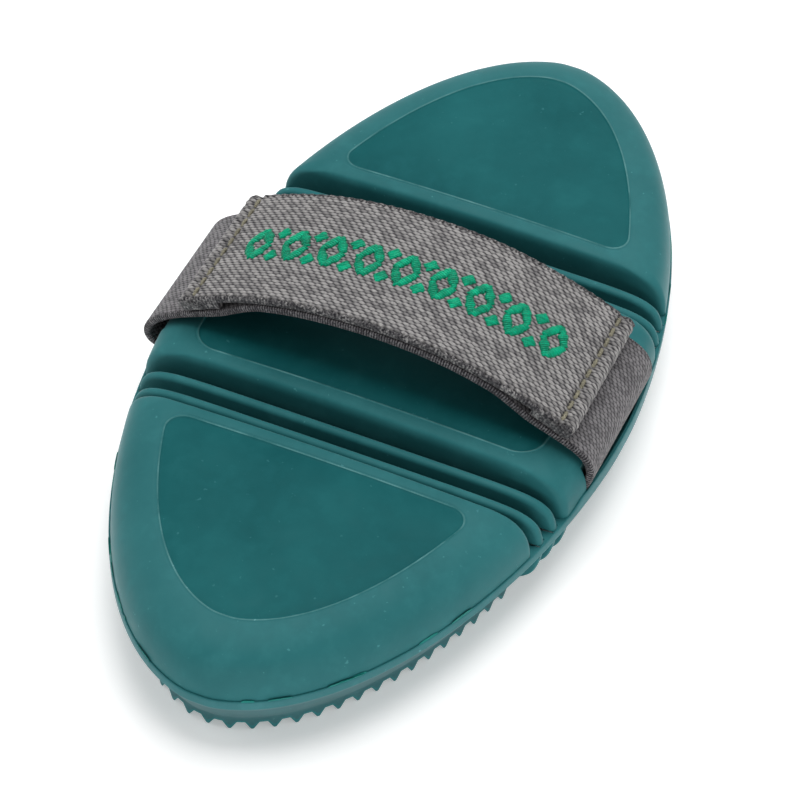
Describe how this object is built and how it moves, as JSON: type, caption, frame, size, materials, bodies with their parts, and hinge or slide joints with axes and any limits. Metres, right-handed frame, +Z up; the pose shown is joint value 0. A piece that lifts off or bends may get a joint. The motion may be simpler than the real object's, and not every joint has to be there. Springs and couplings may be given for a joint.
{
  "type": "curry comb",
  "caption": "Oval flexible rubber curry comb with raised pads, cross ribs, serrated underside ovals and an embroidered webbing hand strap.",
  "frame": {"origin": "under the middle of the oval, at the level of the tooth tips", "axes": "+X along the long axis, +Y across to the left side of the strap, +Z up from the teeth to the strap"},
  "size_m": [0.174, 0.0898, 0.0367],
  "materials": {
    "rubber": "satin moulded rubber",
    "base_webbing": "fine woven webbing",
    "overlay_webbing": "coarse ribbed webbing",
    "seam_thread": "polyester thread",
    "embroidery_thread": "satin stitch"
  },
  "bodies": {
    "root": {"centre_pad": "rubber", "base_strap": "base_webbing", "overlay_band": "overlay_webbing", "left_stitch_row": "seam_thread", "right_stitch_row": "seam_thread", "left_tail_stitches": "seam_thread", "right_tail_stitches": "seam_thread", "embroidery": "embroidery_thread", "front_inner_web": "rubber", "rear_inner_web": "rubber"},
    "front_inner_rib": {"front_inner_rib": "rubber", "front_middle_web": "rubber"},
    "front_outer_rib": {"front_outer_rib": "rubber", "front_outer_web": "rubber"},
    "front_end": {"front_end_pad": "rubber"},
    "rear_inner_rib": {"rear_inner_rib": "rubber", "rear_middle_web": "rubber"},
    "rear_outer_rib": {"rear_outer_rib": "rubber", "rear_outer_web": "rubber"},
    "rear_end": {"rear_end_pad": "rubber"}
  },
  "joints": [
    {"name": "front_inner_bend", "type": "hinge", "parent": "root", "child": "front_inner_rib", "pos_m": [0.02375, 0, 0.0105], "axis": [0, -1, 0], "range_deg": [-7, 7], "stiffness_Nm_per_rad": 0.3, "deforming": ["front_inner_web"]},
    {"name": "front_middle_bend", "type": "hinge", "parent": "front_inner_rib", "child": "front_outer_rib", "pos_m": [0.0277, 0, 0.0105], "axis": [0, -1, 0], "range_deg": [-7, 7], "stiffness_Nm_per_rad": 0.3, "deforming": ["front_middle_web"]},
    {"name": "front_outer_bend", "type": "hinge", "parent": "front_outer_rib", "child": "front_end", "pos_m": [0.03185, 0, 0.0105], "axis": [0, -1, 0], "range_deg": [-7, 7], "stiffness_Nm_per_rad": 0.3, "deforming": ["front_outer_web"]},
    {"name": "rear_inner_bend", "type": "hinge", "parent": "root", "child": "rear_inner_rib", "pos_m": [-0.02375, 0, 0.0105], "axis": [0, 1, 0], "range_deg": [-7, 7], "stiffness_Nm_per_rad": 0.3, "deforming": ["rear_inner_web"]},
    {"name": "rear_middle_bend", "type": "hinge", "parent": "rear_inner_rib", "child": "rear_outer_rib", "pos_m": [-0.0277, 0, 0.0105], "axis": [0, 1, 0], "range_deg": [-7, 7], "stiffness_Nm_per_rad": 0.3, "deforming": ["rear_middle_web"]},
    {"name": "rear_outer_bend", "type": "hinge", "parent": "rear_outer_rib", "child": "rear_end", "pos_m": [-0.03185, 0, 0.0105], "axis": [0, 1, 0], "range_deg": [-7, 7], "stiffness_Nm_per_rad": 0.3, "deforming": ["rear_outer_web"]}
  ],
  "couplings": [
    {"joint": "front_middle_bend", "follows": "front_inner_bend", "ratio": 1},
    {"joint": "front_outer_bend", "follows": "front_inner_bend", "ratio": 1},
    {"joint": "rear_middle_bend", "follows": "rear_inner_bend", "ratio": 1},
    {"joint": "rear_outer_bend", "follows": "rear_inner_bend", "ratio": 1}
  ]
}
